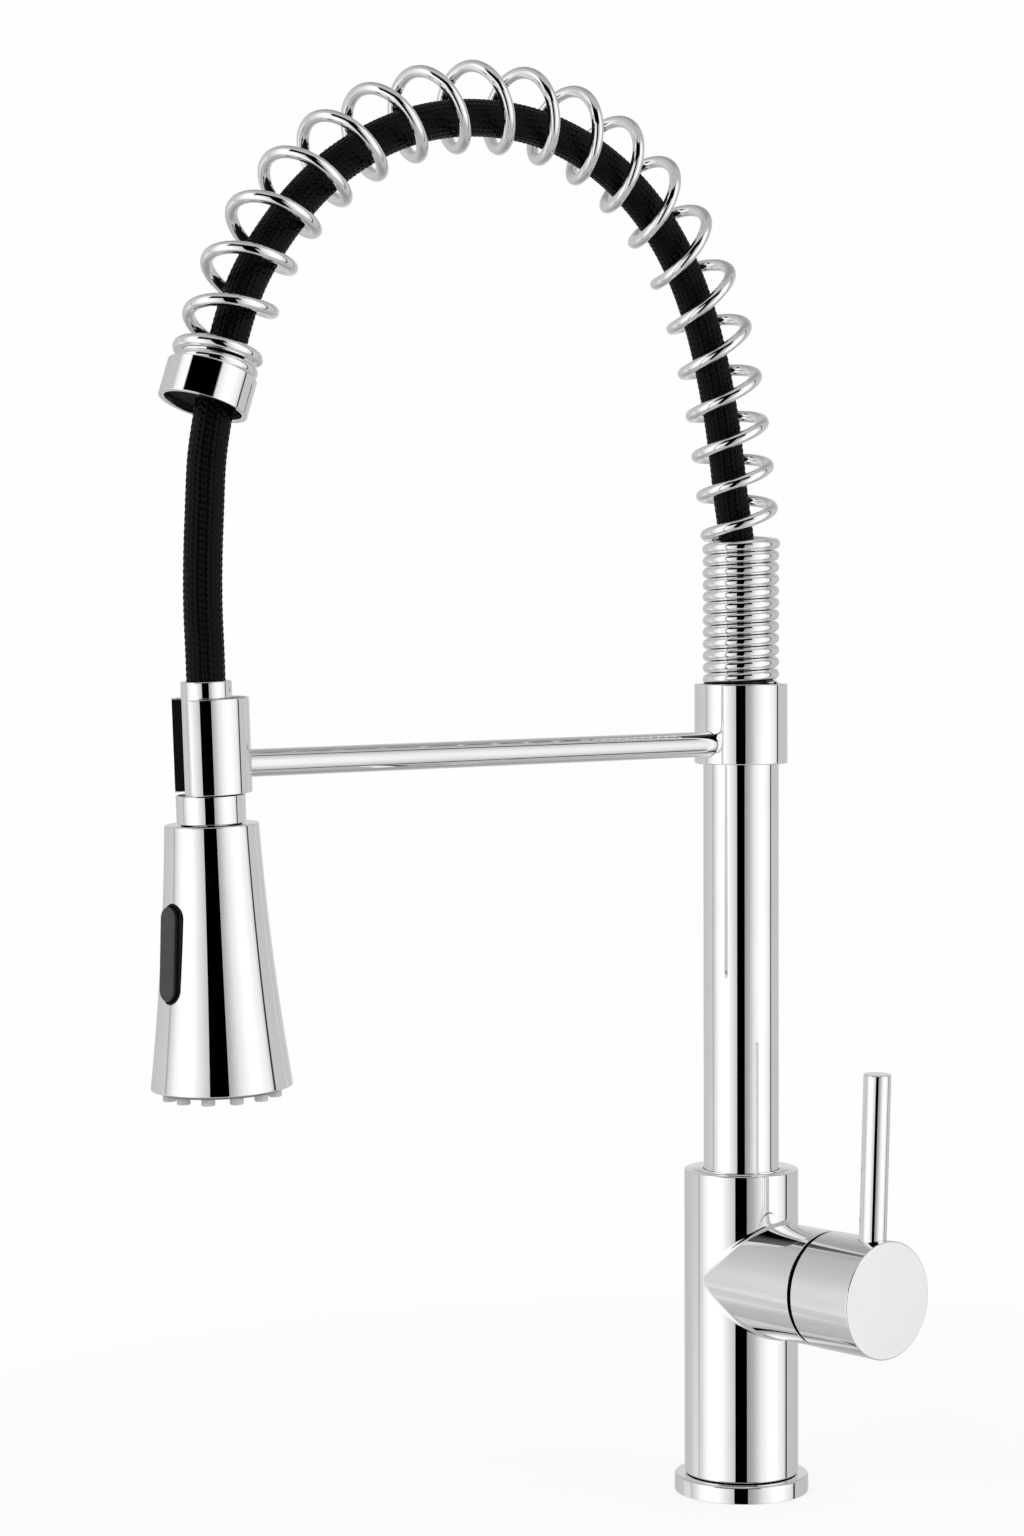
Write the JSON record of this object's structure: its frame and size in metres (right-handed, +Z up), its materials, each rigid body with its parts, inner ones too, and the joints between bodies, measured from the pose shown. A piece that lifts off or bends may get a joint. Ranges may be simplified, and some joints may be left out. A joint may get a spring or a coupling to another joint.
{
  "type": "flexible kitchen faucet",
  "caption": "Deck-mounted kitchen faucet with a side lever, a spring-wound flexible hose over a high arch, a holder arm and a pull-down spray head.",
  "frame": {"origin": "centre of the base on the deck plane", "axes": "+Z up along the column, spout towards -Y, handle on the +X side"},
  "size_m": [0.0994, 0.2885, 0.5175],
  "materials": {
    "chrome": "polished chrome plate",
    "steel": "plain steel",
    "brass": "machined",
    "rubber": "matte",
    "black_plastic": "matte",
    "grey_plastic": "satin",
    "white_plastic": "satin",
    "ceramic": "lapped ceramic",
    "braid": "black nylon braid over a hose"
  },
  "bodies": {
    "base": {"base_flange": "chrome", "base_gasket": "rubber", "valve_body": "chrome", "retaining_screw": "steel", "cartridge_body": "white_plastic", "cartridge_seal": "rubber", "ceramic_disc_lower": "ceramic", "cartridge_nut": "brass"},
    "spout": {"slip_washer": "black_plastic", "riser_tube": "chrome", "tube_foot": "brass", "foot_o_ring_upper": "rubber", "foot_o_ring_lower": "rubber", "spring_post": "black_plastic", "hose_lower_fitting": "brass", "arm_hub": "chrome", "arm_grub_screw": "steel", "holder_arm": "chrome", "holder_clip": "chrome", "clip_liner": "black_plastic", "spring": "chrome", "hose": "braid"},
    "hose_end": {"hose_ferrule": "chrome", "spring_end_collar": "chrome", "collar_insert": "rubber"},
    "spray_head": {"spray_collar": "chrome", "spray_washer": "rubber", "spray_shell": "chrome", "waterway": "grey_plastic", "check_valve": "white_plastic", "filter_screen": "steel", "spray_face": "grey_plastic", "nozzle_mat": "rubber", "aerator": "grey_plastic", "button_bezel": "black_plastic", "diverter_sleeve": "white_plastic", "button_spring": "steel"},
    "button": {"spray_button": "black_plastic", "plunger": "steel"},
    "handle_turn": {"ceramic_disc_upper": "ceramic", "cartridge_carrier": "grey_plastic"},
    "handle_tilt": {"handle_hub": "chrome", "lever_rod": "chrome", "cartridge_stem": "brass", "hub_grub_screw": "steel"}
  },
  "joints": [
    {"name": "spout_swivel", "type": "hinge", "parent": "base", "child": "spout", "pos_m": [0, 0, 0.1208], "axis": [0, 0, 1], "continuous": true},
    {"name": "hose_pull", "type": "slide", "parent": "spout", "child": "hose_end", "axis": [0, 0.0396, -0.9992], "range_m": [0, 0.045], "stiffness_N_per_m": 150, "springref_m": -0.1, "deforming": ["spring", "hose"]},
    {"name": "spray_swivel", "type": "hinge", "parent": "hose_end", "child": "spray_head", "pos_m": [0, -0.2443, 0.2795], "axis": [0, -0.0396, 0.9992], "continuous": true},
    {"name": "spray_button_press", "type": "slide", "parent": "spray_head", "child": "button", "axis": [0, 0.9995, -0.0302], "range_m": [0, 0.0015], "stiffness_N_per_m": 800, "springref_m": -0.001, "deforming": ["button_spring"]},
    {"name": "handle_turn", "type": "hinge", "parent": "base", "child": "handle_turn", "pos_m": [0, 0, 0.0815], "axis": [1, 0, 0], "range_deg": [-45, 45]},
    {"name": "handle_tilt", "type": "hinge", "parent": "handle_turn", "child": "handle_tilt", "pos_m": [0.04565, 0, 0.062], "axis": [0, 1, 0], "range_deg": [0, 20]}
  ]
}
